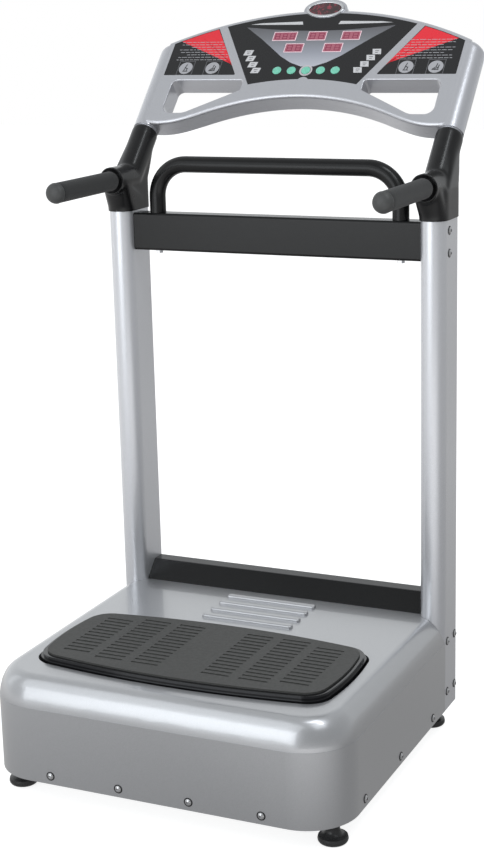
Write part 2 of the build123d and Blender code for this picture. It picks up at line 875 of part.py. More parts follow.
def slot_blocks():
    """Left edge, width, front slot, pitch and number of slots in each right-hand block."""
    return [(44, 53, -200.0, 15.2, 14), (117, 55, -200.0, 15.2, 14), (191, 54, -187.0, 15.3, 12)]


def platform_mat():
    """Textured rubber mat with six blocks of cross grooves."""
    top = plate_top
    mat = slab(plate_outline(10.2), top - mat_thick, top)
    for left, wide, first, pitch, count in slot_blocks():
        for step in range(count):
            y = first + step * pitch
            groove = Pos(left + wide / 2, y, top) * Box(wide, 6, 3)
            mat -= groove
            mat -= mirrored(groove)
    return mat


# ---- power module in the rear wall --------------------------------------------------
inlet_x = -190.0
inlet_z = 110.0


def power_cutout():
    return block((inlet_x - 40, inlet_x + 40), (rear_y - 40, rear_y + 1), (inlet_z - 18, inlet_z + 18))


def power_inlet():
    """Mains inlet socket and switch frame in one moulding."""
    plane = Plane(origin=(inlet_x, rear_y, inlet_z), x_dir=(-1, 0, 0), z_dir=(0, 1, 0))
    body = Box(88, 44, 2, align=(Align.CENTER, Align.CENTER, Align.MIN))
    body += Pos(0, 0, -28) * Box(79, 35, 28, align=(Align.CENTER, Align.CENTER, Align.MIN))
    body = fillet(body.edges().filter_by(Axis.Z), 2)
    socket = outline([(-36, -8), (-30, -13), (2, -13), (8, -8), (8, 12), (-36, 12)],
                     [2, 2, 2, 2, 3, 3])
    body -= slab(socket, -18, 5)
    for x, y in ((-21, -3), (-14, 4), (-7, -3)):
        body += Pos(x, y, -11) * Box(2, 5, 16)
    body -= Pos(25, 0, -5) * Box(15, 26, 20)
    for side in (-1, 1):
        body -= Pos(25 + side * 9, 0, -2) * Rot(0, 90, 0) * Cylinder(1.5 + run_fit, 5)
    return plane * body


def power_switch():
    """Rocker of the main switch."""
    plane = Plane(origin=(inlet_x, rear_y, inlet_z), x_dir=(-1, 0, 0), z_dir=(0, 1, 0))
    side = Polygon((-12, -5), (12, -5), (12, 5), (0, 1.5), (-12, 5), align=None)
    rocker = extrude(Plane.YZ * side, amount=6.5, both=True)
    rocker += Rot(0, 90, 0) * Cylinder(1.5, 19)
    return plane * (Pos(25, 0, -2) * rocker)


# ---- write every piece --------------------------------------------------------------
def main():
    os.makedirs("parts", exist_ok=True)
    save("base_cover", base_cover())
    save("base_screws", *base_screws())
    save("chassis", chassis())
    save("bottom_plate", bottom_plate())
    for row, y in (("front", foot_front_y), ("rear", foot_rear_y)):
        save(f"foot_{row}_left", foot(-foot_x, y))
        save(f"foot_{row}_right", foot(foot_x, y))
    save("lock_nuts", *lock_nuts())
    save("post_plugs", post_plug(), mirrored(post_plug()))

    sided = {
        "post": post(),
        "sleeve": sleeve(),
        "handlebar": handlebar(),
        "grip": grip(),
        "grip_cap": grip_cap(),
        "side_label": side_label(),
    }
    for name, piece in sided.items():
        save(f"{name}_right", piece)
        save(f"{name}_left", mirrored(piece))
    save("post_screws", *post_screws())
    save("crossbar", crossbar())
    save("rear_handle", rear_handle())
    save("handle_bolts", *handle_bolts())
    save("lower_panel", lower_panel())

    save("console_front", console_front())
    save("console_back", console_back())
    save("console_screws", *console_screws())
    save("centre_label", centre_label())
    save("displays", *displays())
    save("control_board", control_board())
    names = ["program_button", "time_button", "start_button", "slower_button", "faster_button"]
    for index, name in enumerate(names):
        save(name, button(index))
    save("badge_ring", badge_ring())
    save("badge_lens", badge_lens())

    save("rocker_frame", rocker_frame())
    save("pivot_shaft", pivot_shaft())
    save("pivot_bearings", *pivot_bearings())
    save("crank_shaft", crank_shaft())
    save("crank_bearings", *crank_bearings())
    save("crank_pulley", pulley(crank_y, crank_z, crank_pulley_radius, crank_radius))
    save("rod_left", connecting_rod(-1))
    save("rod_right", connecting_rod(1))
    save("rod_pins", *rod_pins())
    save("drive_belt", drive_belt())
    save("motor_body", motor_body())
    save("motor_shaft", motor_shaft())
    save("motor_pulley", pulley(motor_y, motor_z, motor_pulley_radius, 8))
    save("motor_bracket", motor_bracket())
    save("speed_controller", speed_controller())
    save("platform_tray", platform_tray())
    save("platform_mat", platform_mat())
    save("power_inlet", power_inlet())
    save("power_switch", power_switch())


main()
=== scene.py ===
import json
import math

import bpy
import bmesh
from mathutils import Matrix, Vector


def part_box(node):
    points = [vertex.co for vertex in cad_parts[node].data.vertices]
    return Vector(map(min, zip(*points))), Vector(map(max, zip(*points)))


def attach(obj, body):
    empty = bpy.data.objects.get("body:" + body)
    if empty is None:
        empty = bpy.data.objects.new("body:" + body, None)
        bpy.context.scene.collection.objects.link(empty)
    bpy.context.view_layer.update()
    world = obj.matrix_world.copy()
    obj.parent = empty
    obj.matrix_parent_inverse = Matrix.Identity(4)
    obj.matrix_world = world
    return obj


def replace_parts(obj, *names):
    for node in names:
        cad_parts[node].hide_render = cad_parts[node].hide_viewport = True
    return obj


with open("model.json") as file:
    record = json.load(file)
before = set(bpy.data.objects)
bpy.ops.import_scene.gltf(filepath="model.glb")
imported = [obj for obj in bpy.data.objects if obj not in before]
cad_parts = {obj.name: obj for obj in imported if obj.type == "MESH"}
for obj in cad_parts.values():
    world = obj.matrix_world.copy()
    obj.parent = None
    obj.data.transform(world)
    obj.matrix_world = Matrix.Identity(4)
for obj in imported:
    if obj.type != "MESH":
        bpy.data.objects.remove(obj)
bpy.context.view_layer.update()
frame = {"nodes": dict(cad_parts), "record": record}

NODES = frame["nodes"]
MM = 0.001
BASE_Y = sum(corner.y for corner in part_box("base_cover")) / 2


def base_box(node):
    """A node's lowest and highest corners, in millimetres about the middle of the base."""
    corners = []
    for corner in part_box(node):
        values = (corner.x, corner.y - BASE_Y, corner.z)
        corners.append([round(value / MM, 1) for value in values])
    return corners


# ---- node-material helpers ----------------------------------------------------------
class Shade:
    """One Principled material with a few procedural layers in object space."""

    def __init__(self, name, color, rough, metal=0.0, coat=0.0, coat_rough=0.1, spec=0.5):
        self.material = bpy.data.materials.new(name)
        self.material.use_nodes = True
        self.tree = self.material.node_tree
        self.surface = self.tree.nodes["Principled BSDF"]
        self.set("Base Color", (*color, 1.0))
        self.set("Roughness", rough)
        self.set("Metallic", metal)
        self.set("Coat Weight", coat)
        self.set("Coat Roughness", coat_rough)
        self.set("Specular IOR Level", spec)
        self.color = color
        self.rough = rough
        self.coords = self.node("ShaderNodeTexCoord").outputs["Object"]
        self.height = None

    def set(self, socket, value):
        self.surface.inputs[socket].default_value = value

    def node(self, kind, **values):
        made = self.tree.nodes.new(kind)
        for key, value in values.items():
            if key.islower():
                setattr(made, key, value)
            else:
                made.inputs[key].default_value = value
        return made

    def link(self, source, target):
        self.tree.links.new(source, target)

    def noise(self, scale, detail=3.0, roughness=0.5, stretch=(1, 1, 1)):
        """Grey noise from 0 to 1, scale in cells per metre."""
        mapping = self.node("ShaderNodeMapping")
        mapping.inputs["Scale"].default_value = stretch
        self.link(self.coords, mapping.inputs["Vector"])
        noise = self.node("ShaderNodeTexNoise", Scale=scale, Detail=detail, Roughness=roughness)
        self.link(mapping.outputs["Vector"], noise.inputs["Vector"])
        return noise.outputs["Fac"]

    def cells(self, scale):
        """Distance to the nearest cell centre."""
        cell = self.node("ShaderNodeTexVoronoi", Scale=scale)
        self.link(self.coords, cell.inputs["Vector"])
        return cell.outputs["Distance"]

    def ramp(self, factor, stops):
        """Map a factor through coloured stops [(position, colour or grey), ...]."""
        ramp = self.node("ShaderNodeValToRGB")
        elements = ramp.color_ramp.elements
        while len(elements) < len(stops):
            elements.new(0.5)
        for element, (place, value) in zip(elements, stops):
            element.position = place
            element.color = (*value, 1.0) if hasattr(value, "__len__") else (value,) * 3 + (1.0,)
        self.link(factor, ramp.inputs["Fac"])
        return ramp.outputs["Color"]

    def tint(self, factor, stops):
        """Base colour as multiples of the material's own colour."""
        scaled = [(place, tuple(c * k for c in self.color)) for place, k in stops]
        self.link(self.ramp(factor, scaled), self.surface.inputs["Base Color"])

    def remap(self, factor, source, target):
        """Linear map of a value between two ranges, clamped."""
        remap = self.node("ShaderNodeMapRange")
        remap.inputs["From Min"].default_value, remap.inputs["From Max"].default_value = source
        remap.inputs["To Min"].default_value, remap.inputs["To Max"].default_value = target
        self.link(factor, remap.inputs["Value"])
        return remap.outputs["Result"]

    def vary_rough(self, factor, spread):
        """Roughness that wanders by spread either way."""
        low, high = max(0.02, self.rough - spread), self.rough + spread
        self.link(self.remap(factor, (0.3, 0.7), (low, high)), self.surface.inputs["Roughness"])

    def bump(self, factor, distance, strength=1.0):
        """Surface relief; layers stack in the order they are added."""
        bump = self.node("ShaderNodeBump", Strength=strength, Distance=distance)
        self.link(factor, bump.inputs["Height"])
        if self.height is not None:
            self.link(self.height, bump.inputs["Normal"])
        self.height = bump.outputs["Normal"]
        self.link(self.height, self.surface.inputs["Normal"])


def silver_lacquer(name, color, rough):
    """Metallic flake paint under clear coat, with faint orange peel."""
    shade = Shade(name, color, rough, metal=0.75, coat=0.8, coat_rough=0.06)
    shade.tint(shade.noise(2600, 2), [(0.36, 0.86), (0.52, 1.0), (0.68, 1.16)])
    shade.vary_rough(shade.noise(1400, 2), 0.02)
    shade.bump(shade.noise(2600, 2), 0.00002, 0.35)
    shade.bump(shade.noise(160, 2), 0.00006, 0.30)
    return shade.material


def powder_coat(name, color, rough):
    """Satin powder coat with a pebbled skin."""
    shade = Shade(name, color, rough, spec=0.26)
    shade.tint(shade.noise(300, 5), [(0.3, 0.85), (0.7, 1.2)])
    shade.vary_rough(shade.noise(240, 5, 0.6, (1, 1, 14)), 0.03)
    shade.bump(shade.noise(900, 3), 0.00008, 0.5)
    return shade.material


def moulded_plastic(name, color, rough, grain=0.5):
    """Injection-moulded plastic with a fine spark-eroded grain."""
    shade = Shade(name, color, rough, spec=0.45)
    shade.tint(shade.noise(60, 6), [(0.3, 0.88), (0.7, 1.15)])
    shade.vary_rough(shade.noise(30, 4), 0.05)
    shade.bump(shade.noise(1600, 3), 0.00005, grain)
    return shade.material


def satin_moulding(name, color, rough):
    """Smooth moulded plastic under a thin glossy skin, with faint flow waviness."""
    shade = Shade(name, color, rough, spec=0.22, coat=0.22, coat_rough=0.14)
    shade.tint(shade.noise(60, 6), [(0.3, 0.85), (0.7, 1.2)])
    shade.vary_rough(shade.noise(30, 4), 0.04)
    shade.bump(shade.noise(1600, 3), 0.00003, 0.3)
    shade.bump(shade.noise(90, 2), 0.00006, 0.25)
    return shade.material


def gloss_plastic(name, color, rough):
    """Polished black plastic with hairline scuffs."""
    shade = Shade(name, color, rough, spec=0.35, coat=0.25, coat_rough=0.08)
    shade.tint(shade.noise(40, 5), [(0.3, 0.85), (0.7, 1.2)])
    shade.vary_rough(shade.noise(90, 6, 0.65, (1, 12, 1)), 0.07)
    shade.bump(shade.noise(240, 2), 0.00004, 0.3)
    return shade.material


def marbled_lens(name, color, rough):
    """Clear glossy lens over a dark plate with red swirls."""
    shade = Shade(name, color, rough, spec=0.5, coat=0.8, coat_rough=0.04)
    swirl = shade.node("ShaderNodeTexNoise", Scale=55, Detail=4, Distortion=1.6)
    shade.link(shade.coords, swirl.inputs["Vector"])
    shade.tint(swirl.outputs["Fac"], [(0.38, 0.08), (0.50, 0.30), (0.60, 1.6), (0.68, 0.4)])
    shade.vary_rough(shade.noise(300, 3), 0.03)
    shade.bump(shade.noise(240, 2), 0.00003, 0.3)
    return shade.material


def foam(name, color):
    """Closed-cell foam: tiny pores, their pits painted darker as painted shade, and a soft edge sheen.
    """
    shade = Shade(name, color, 0.92, spec=0.25)
    shade.set("Sheen Weight", 0.12)
    shade.set("Sheen Roughness", 0.6)
    # pore pits darker where the bump sinks: painted shade in the pores
    shade.tint(shade.cells(1500), [(0.0, 0.62), (0.45, 1.0), (0.9, 1.25)])
    shade.bump(shade.cells(1500), 0.00018, 0.8)
    shade.bump(shade.noise(260, 4), 0.00025, 0.4)
    return shade.material


def rubber(name, color, rough=0.7, grain=0.00012):
    """Grained rubber with a dusty bloom."""
    shade = Shade(name, color, rough, spec=0.35)
    shade.tint(shade.noise(420, 5, 0.6), [(0.3, 0.88), (0.55, 1.0), (0.75, 1.16)])
    shade.vary_rough(shade.noise(160, 5), 0.05)
    shade.bump(shade.cells(900), grain, 0.6)
    shade.bump(shade.noise(1800, 2), grain / 2, 0.5)
    return shade.material


def brushed_steel(name, color, rough, stretch=(1, 1, 40)):
    """Metal with fine brush lines across the stretched axis."""
    shade = Shade(name, color, rough, metal=1.0)
    shade.tint(shade.noise(120, 4, 0.6, stretch), [(0.3, 0.88), (0.7, 1.1)])
    shade.vary_rough(shade.noise(200, 4, 0.6, stretch), 0.08)
    shade.bump(shade.noise(500, 3, 0.6, stretch), 0.00003, 0.4)
    return shade.material


def chrome(name, color, rough):
    """Bright plated metal with slight handling marks."""
    shade = Shade(name, color, rough, metal=1.0)
    shade.vary_rough(shade.noise(300, 4), 0.05)
    shade.tint(shade.noise(500, 3), [(0.3, 0.9), (0.7, 1.05)])
    shade.bump(shade.noise(700, 2), 0.00001, 0.3)
    return shade.material


def film(name, color, rough=0.28):
    """Printed polyester film: slight grain under a smooth face."""
    shade = Shade(name, color, rough, spec=0.4)
    shade.tint(shade.noise(1200, 3), [(0.3, 0.92), (0.7, 1.08)])
    shade.vary_rough(shade.noise(25, 4), 0.04)
    shade.bump(shade.noise(2200, 2), 0.00001, 0.4)
    return shade.material


def silicone(name, color):
    """Slightly translucent moulded silicone."""
    shade = Shade(name, color, 0.42, spec=0.45)
    shade.set("Subsurface Weight", 0.2)
    shade.set("Subsurface Radius", (0.004, 0.006, 0.004))
    shade.set("Subsurface Scale", 1.0)
    shade.tint(shade.noise(160, 4), [(0.3, 0.92), (0.7, 1.08)])
    shade.bump(shade.noise(1500, 2), 0.00002, 0.5)
    return shade.material


def cast_iron(name, color):
    """Rough dark casting with an uneven skin."""
    shade = Shade(name, color, 0.6, metal=0.35)
    shade.tint(shade.noise(300, 6, 0.6), [(0.3, 0.75), (0.7, 1.25)])
    shade.vary_rough(shade.noise(80, 5), 0.1)
    shade.bump(shade.noise(700, 5), 0.0003, 0.6)
    return shade.material


LOOK = {
    "silver_cover": silver_lacquer("silver_cover", (0.42, 0.425, 0.44), 0.30),
    "silver_post": silver_lacquer("silver_post", (0.60, 0.61, 0.64), 0.36),
    "black_paint": powder_coat("black_paint", (0.0056, 0.0057, 0.0060), 0.25),
    "black_plastic": satin_moulding("black_plastic", (0.006, 0.006, 0.0065), 0.30),
    "switch_rocker": gloss_plastic("switch_rocker", (0.015, 0.015, 0.016), 0.25),
    "platform_black": gloss_plastic("platform_black", (0.007, 0.007, 0.008), 0.15),
    "mat_rubber": rubber("mat_rubber", (0.050, 0.050, 0.048), 0.58),
    "grip_foam": foam("grip_foam", (0.017, 0.0175, 0.018)),
    "cap_rubber": rubber("cap_rubber", (0.052, 0.053, 0.053), 0.45, 0.00007),
    "foot_rubber": rubber("foot_rubber", (0.030, 0.030, 0.031), 0.28, 0.00003),
    "screws": chrome("screws", (0.52, 0.52, 0.53), 0.20),
    "label_film": film("label_film", (0.009, 0.009, 0.010)),
    "display_red": film("display_red", (0.36, 0.11, 0.15), 0.2),
    "board_green": moulded_plastic("board_green", (0.02, 0.12, 0.05), 0.4),
    "button_green": silicone("button_green", (0.17, 0.52, 0.39)),
    "badge_chrome": chrome("badge_chrome", (0.72, 0.73, 0.75), 0.2),
    "badge_red": marbled_lens("badge_red", (0.16, 0.010, 0.022), 0.10),
    "chassis_paint": powder_coat("chassis_paint", (0.03, 0.03, 0.033), 0.45),
    "zinc_sheet": brushed_steel("zinc_sheet", (0.42, 0.43, 0.44), 0.4),
    "shaft_steel": brushed_steel("shaft_steel", (0.5, 0.5, 0.51), 0.28),
    "bearing_iron": cast_iron("bearing_iron", (0.12, 0.13, 0.14)),
    "pulley_alloy": brushed_steel("pulley_alloy", (0.6, 0.6, 0.61), 0.3, (40, 1, 1)),
    "belt_rubber": rubber("belt_rubber", (0.02, 0.02, 0.02)),
    "motor_paint": powder_coat("motor_paint", (0.03, 0.03, 0.034), 0.4),
    "heat_sink": brushed_steel("heat_sink", (0.3, 0.31, 0.32), 0.4),
}


def dress_frame():
    """Give every CAD node the finish of its material slot; the console has a paler silver, a lit copy
    of the cover's silver (painted light).
    """
    slots = {s["node"]: s["material_slot"] for s in frame["record"]["subparts"]}
    # painted light: a paler, bluer copy of the cover's silver that lifts the console to a brighter tone
    console = silver_lacquer("silver_console_lit", (0.50, 0.505, 0.535), 0.33)
    for name, node in NODES.items():
        node.data.materials.clear()
        finish = console if name in ("console_front", "console_back") else LOOK[slots[name]]
        node.data.materials.append(finish)


# ---- mesh helpers -------------------------------------------------------------------
def new_piece(name, builder, smooth=True):
    """A mesh object from a bmesh."""
    mesh = bpy.data.meshes.new(name)
    builder.to_mesh(mesh)
    builder.free()
    piece = bpy.data.objects.new(name, mesh)
    bpy.context.scene.collection.objects.link(piece)
    for face in mesh.polygons:
        face.use_smooth = smooth
    return piece


def dress(piece, slot, material=None, body="frame"):
    """Give a piece its finish, the one for its slot unless a material is given, and the body that it
    rides on.
    """
    piece.data.materials.append(material or LOOK[slot])
    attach(piece, body)
    return piece


def frame_point(x, y, z):
    """A point in metres from millimetres about the middle of the base."""
    return Vector((x * MM, y * MM + BASE_Y, z * MM))


def add_bar(builder, start, end, radius, sides=64):
    """Closed round bar between two points."""
    axis = end - start
    place = Matrix.Translation((start + end) / 2) @ axis.to_track_quat("Z", "Y").to_matrix().to_4x4()
    bmesh.ops.create_cone(
        builder, cap_ends=True, segments=sides, radius1=radius, radius2=radius,
        depth=axis.length, matrix=place,
    )


def add_hull(builder, points):
    """Convex hull of the points as a closed solid."""
    verts = [builder.verts.new(point) for point in points]
    bmesh.ops.convex_hull(builder, input=verts)
    spare = [v for v in verts if v.is_valid and not v.link_faces]
    bmesh.ops.delete(builder, geom=spare, context="VERTS")


def add_lathe(builder, profile, start, axis, segments=96):
    """Closed ring section (radius, height) turned round an axis."""
    turn = axis.to_track_quat("Z", "Y").to_matrix()
    rings = []
    for step in range(segments):
        angle = 2 * math.pi * step / segments
        ring = []
        for radius, height in profile:
            local = Vector((radius * math.cos(angle), radius * math.sin(angle), height)) * MM
            ring.append(builder.verts.new(start + turn @ local))
        rings.append(ring)
    count = len(profile)
    for step in range(segments):
        here, there = rings[step], rings[(step + 1) % segments]
        for index in range(count):
            following = (index + 1) % count
            builder.faces.new((here[index], here[following], there[following], there[index]))
    bmesh.ops.remove_doubles(builder, verts=builder.verts, dist=0.00001)
    bmesh.ops.recalc_face_normals(builder, faces=builder.faces)


def arc_points(centre, radius, first, last, steps):
    """Points of an arc, angles in degrees."""
    points = []
    for step in range(steps + 1):
        angle = math.radians(first + (last - first) * step / steps)
        points.append((centre[0] + radius * math.cos(angle), centre[1] + radius * math.sin(angle)))
    return points


# ---- sleeves ------------------------------------------------------------------------
GRIP_LOW, GRIP_HIGH = base_box("grip_right")
GRIP_X = (GRIP_LOW[0] + GRIP_HIGH[0]) / 2
GRIP_Z = (GRIP_LOW[2] + GRIP_HIGH[2]) / 2
GRIP_END = GRIP_LOW[1]
GRIP_ROOT = GRIP_HIGH[1]
GRIP_LENGTH = GRIP_ROOT - GRIP_END
FOAM_RADIUS = 19.0
POST_LOW, POST_HIGH = base_box("post_right")
POST_X = (POST_LOW[0] + POST_HIGH[0]) / 2
POST_HALF = (POST_HIGH[0] - POST_LOW[0]) / 2
POST_REAR = POST_HIGH[1]
POST_TOP = POST_HIGH[2]
POST_ROUND_Y = 253.0        # centre of the post's round front
COLLAR_Y = base_box("sleeve_right")[0][1]
NECK_Y = 278.0              # where the neck tube meets the grip tube
NECK_TOP = (357.0, 1156.4)  # upper end of the neck tube, y and z
SLEEVE_RADIUS = 26.6
SLEEVE_SIDE = 2.6           # sleeve beyond the post at its sides and front
SLEEVE_REAR = 2.5
SLEEVE_LAP = 14             # how far a tube runs on before it is trimmed
SLEEVE_VOXEL = 0.0018
SLEEVE_SMOOTHING = 60
WEB_TOP = 0.72              # share of the neck that the web behind it reaches
RIM_WIDTH = 0.0034
RIM_SLOPE = 0.0003
RIM_DEPTH = 0.003


def upright_ring(height, side, shrink=0.0):
    """Flat-oval section of the sleeve round the post."""
    half = POST_HALF + SLEEVE_SIDE - shrink
    rear = POST_REAR + SLEEVE_REAR - shrink
    points = arc_points((POST_X, POST_ROUND_Y), half, 180, 360, 24)
    points += [(POST_X + half, rear), (POST_X - half, rear)]
    return [frame_point(side * x, y, height) for x, y in points]


def trim(builder, place, outward):
    """Cut the solid with a plane, close it, and sink the cut face to leave a rim."""
    geometry = builder.verts[:] + builder.edges[:] + builder.faces[:]
    cut = bmesh.ops.bisect_plane(
        builder, geom=geometry, plane_co=place, plane_no=outward, clear_outer=True
    )
    edges = [item for item in cut["geom_cut"] if isinstance(item, bmesh.types.BMEdge)]
    made = bmesh.ops.contextual_create(builder, geom=edges)["faces"]
    for face in made:
        face.smooth = False
    inset = bmesh.ops.inset_region(builder, faces=made, thickness=RIM_WIDTH, depth=0.0)
    bmesh.ops.inset_region(builder, faces=made, thickness=RIM_SLOPE, depth=-RIM_DEPTH)
    for face in inset["faces"]:
        face.smooth = False


def sleeve(name, side):
    """Moulded three-way sleeve with the tubes blended into each other."""
    builder = bmesh.new()
    low = frame_point(side * GRIP_X, NECK_Y, GRIP_Z)
    top = frame_point(side * GRIP_X, *NECK_TOP)
    radius = SLEEVE_RADIUS * MM
    add_hull(builder, upright_ring(POST_TOP - SLEEVE_LAP, side) + upright_ring(GRIP_Z - 4, side))
    add_bar(builder, low, top, radius)
    add_bar(builder, low, frame_point(side * GRIP_X, COLLAR_Y - SLEEVE_LAP, GRIP_Z), radius)
    bmesh.ops.create_uvsphere(
        builder, u_segments=48, v_segments=24, radius=radius, matrix=Matrix.Translation(low)
    )
    middle = low.lerp(top, WEB_TOP)
    across = Vector((1, 0, 0))
    up_slope = across.cross((top - low).normalized())
    neck_ring = []
    for angle in range(0, 360, 15):
        turn = math.radians(angle)
        neck_ring.append(middle + (across * math.cos(turn) + up_slope * math.sin(turn)) * radius * 0.97)
    rear_half = [p for p in upright_ring(GRIP_Z - 6, side, 0.6) if p.y > BASE_Y + 0.250]
    add_hull(builder, neck_ring + rear_half)
    collar_ring = arc_points((GRIP_X, GRIP_Z), SLEEVE_RADIUS - 0.8, 0, 345, 23)
    collar_ring = [frame_point(side * x, COLLAR_Y + 7, z) for x, z in collar_ring]
    add_hull(builder, collar_ring + upright_ring(POST_TOP + 4, side, 0.4))
    rough = new_piece(name + "_rough", builder)
    remesh = rough.modifiers.new("remesh", "REMESH")
    remesh.mode = "VOXEL"
    remesh.voxel_size = SLEEVE_VOXEL
    blend = rough.modifiers.new("blend", "SMOOTH")
    blend.factor = 0.5
    blend.iterations = SLEEVE_SMOOTHING
    graph = bpy.context.evaluated_depsgraph_get()
    blended = bpy.data.meshes.new_from_object(rough.evaluated_get(graph))
    bpy.data.objects.remove(rough)
    builder = bmesh.new()
    builder.from_mesh(blended)
    bpy.data.meshes.remove(blended)
    trim(builder, frame_point(0, 0, POST_TOP), Vector((0, 0, -1)))
    trim(builder, frame_point(0, COLLAR_Y, 0), Vector((0, -1, 0)))
    piece = new_piece(name, builder)
    dress(piece, "black_plastic")
    return piece


def collar_bead(name, side):
    """Thin raised bead round the mouth of the grip collar."""
    builder = bmesh.new()
    section = arc_points((SLEEVE_RADIUS - 2.0, 1.4), 1.7, 0, 345, 15)
    add_lathe(builder, section, frame_point(side * GRIP_X, COLLAR_Y, GRIP_Z), Vector((0, 1, 0)))
    return dress(new_piece(name, builder), "black_plastic")


def foam_grip(name, side):
    """Foam tube with soft rounded ends, drawn in very slightly along its middle."""
    builder = bmesh.new()
    outer = [(14.3, 0.6), (17.2, 0.0), (18.5, 0.9), (FOAM_RADIUS, 3.0)]
    for step in range(1, 12):
        waist = FOAM_RADIUS - 0.12 * math.sin(math.pi * step / 12)
        outer.append((waist, 3 + (GRIP_LENGTH - 6) * step / 12))
    outer += [(FOAM_RADIUS, GRIP_LENGTH - 3), (18.4, GRIP_LENGTH - 0.8)]
    outer += [(17.0, GRIP_LENGTH), (14.3, GRIP_LENGTH - 0.4)]
    add_lathe(builder, outer, frame_point(side * GRIP_X, GRIP_ROOT, GRIP_Z), Vector((0, -1, 0)))
    piece = dress(new_piece(name, builder), "grip_foam")
    return piece


def end_cap(name, side):
    """Domed rubber cap with a rolled edge and a moulded step."""
    builder = bmesh.new()
    profile = [(0.0, 0.0), (18.6, 0.0), (19.4, 0.6), (19.5, 1.8), (19.2, 3.0), (18.7, 3.4)]
    for degrees in range(8, 89, 8):
        angle = math.radians(degrees)
        profile.append((18.7 * math.cos(angle) ** 0.9, 3.4 + 11.4 * math.sin(angle)))
    profile += [(0.0, 15.0)]
    add_lathe(builder, profile, frame_point(side * GRIP_X, GRIP_END, GRIP_Z), Vector((0, -1, 0)))
    return dress(new_piece(name, builder), "cap_rubber")


def make_grips():
    """Sleeves, foam grips and end caps in place of their plain CAD solids."""
    for word, side in (("right", 1), ("left", -1)):
        body = sleeve(f"moulded_sleeve_{word}", side)
        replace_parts(body, f"sleeve_{word}")
        collar_bead(f"collar_bead_{word}", side)
        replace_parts(foam_grip(f"foam_{word}", side), f"grip_{word}")
        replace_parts(end_cap(f"cap_dome_{word}", side), f"grip_cap_{word}")


# ---- dark screw rings (painted shade) -----------------------------------------------
BASE_LOW, BASE_HIGH = base_box("base_cover")
HALF_BASE = BASE_HIGH[0]
FRONT_Y = BASE_LOW[1]
BASE_SCREW_Z = sum(corner[2] for corner in base_box("base_screws")) / 2
FRONT_SCREWS_X = (-208, -69.3, 69.3, 208)
SIDE_SCREWS_Y = (-191, -8, 175)
POST_SCREWS = [(y, z) for y in (262, 306) for z in (83, 188)]
POST_SCREWS += [(267, z) for z in (948, 990)]


def screw_places():
    """Foot of every domed screw on the base and the posts, with its outward direction."""
    places = [((x, FRONT_Y, BASE_SCREW_Z), (0, -1, 0)) for x in FRONT_SCREWS_X]
    sides = [(y, BASE_SCREW_Z) for y in SIDE_SCREWS_Y] + POST_SCREWS
    for y, z in sides:
        places += [((side * HALF_BASE, y, z), (side, 0, 0)) for side in (-1, 1)]
    return places


def make_screw_shade_rings():
    """Thin black rings, shaped as washers, under the screw heads; their black is painted shade for the
    shadowed gap round each head.
    """
    section = [(6.0, -0.3), (8.2, -0.3), (8.4, 0.3), (8.1, 0.8), (7.2, 1.0), (6.0, 1.0)]
    builder = bmesh.new()
    for place, direction in screw_places():
        ring = bmesh.new()
        add_lathe(ring, section, frame_point(*place), Vector(direction), 40)
        loose = bpy.data.meshes.new("dark_ring_mesh")
        ring.to_mesh(loose)
        ring.free()
        builder.from_mesh(loose)
        bpy.data.meshes.remove(loose)
    # near-black finish: painted shade standing for the shadowed gap round each screw head
    black = satin_moulding("screw_gap_shade", (0.012, 0.012, 0.013), 0.4)
    dress(new_piece("screw_gap_shade_rings", builder), "screws", black)


# ---- printed graphics on the console ------------------------------------------------
TILT = math.radians(43.5)
UP_FACE = Vector((0, math.sin(TILT), math.cos(TILT)))
OUT_FACE = Vector((0, -math.cos(TILT), math.sin(TILT)))
FACE_ORIGIN = frame_point(0, 407.0, 1245.4)
FILM = -0.30                # surface of the label film, millimetres out of the face


def on_face(u, v, w):
    """Point u across, v up and w out of the console's face, in millimetres."""
    return FACE_ORIGIN + (Vector((u, 0, 0)) + UP_FACE * v + OUT_FACE * w) * MM


def add_patch(builder, outline, low, high):
    """Thin raised patch with the given outline, in millimetres on the face."""
    area = sum(a[0] * b[1] - b[0] * a[1] for a, b in zip(outline, outline[1:] + outline[:1]))
    points = outline if area > 0 else outline[::-1]
    lower = [builder.verts.new(on_face(u, v, low)) for u, v in points]
    upper = [builder.verts.new(on_face(u, v, high)) for u, v in points]
    builder.faces.new(upper)
    builder.faces.new(lower[::-1])
    for index in range(len(points)):
        after = (index + 1) % len(points)
        builder.faces.new((lower[index], lower[after], upper[after], upper[index]))


def box_outline(u, v, wide, tall, lean=0.0):
    """Rectangle about a point, its top pushed sideways by lean."""
    x, y = wide / 2, tall / 2
    return [(u - x - lean, v - y), (u + x - lean, v - y), (u + x + lean, v + y), (u - x + lean, v + y)]


def add_border(builder, outline, width, low, high):
    """Line of the given width just outside a closed outline."""
    centre = [sum(p[k] for p in outline) / len(outline) for k in (0, 1)]
    wider = []
    for u, v in outline:
        wider.append((u + math.copysign(width, u - centre[0]), v + math.copysign(width, v - centre[1])))
    for index in range(len(outline)):
        after = (index + 1) % len(outline)
        add_patch(builder, [outline[index], wider[index], wider[after], outline[after]], low, high)


def add_stroke(builder, start, end, width, low, high):
    """Straight printed stroke with square ends."""
    along = Vector((end[0] - start[0], end[1] - start[1])).normalized() * width / 2
    side = Vector((-along.y, along.x))
    a, b = Vector(start), Vector(end)
    corners = [a - side - along, b - side + along, b + side + along, a + side - along]
    add_patch(builder, [tuple(c) for c in corners], low, high)


def printed(name, patches, material, top=-0.2):
    """Piece made of flat patches lying on the label film."""
    builder = bmesh.new()
    for outline in patches:
        add_patch(builder, outline, FILM, top)
    return dress(new_piece(name, builder, smooth=False), "label_film", material)


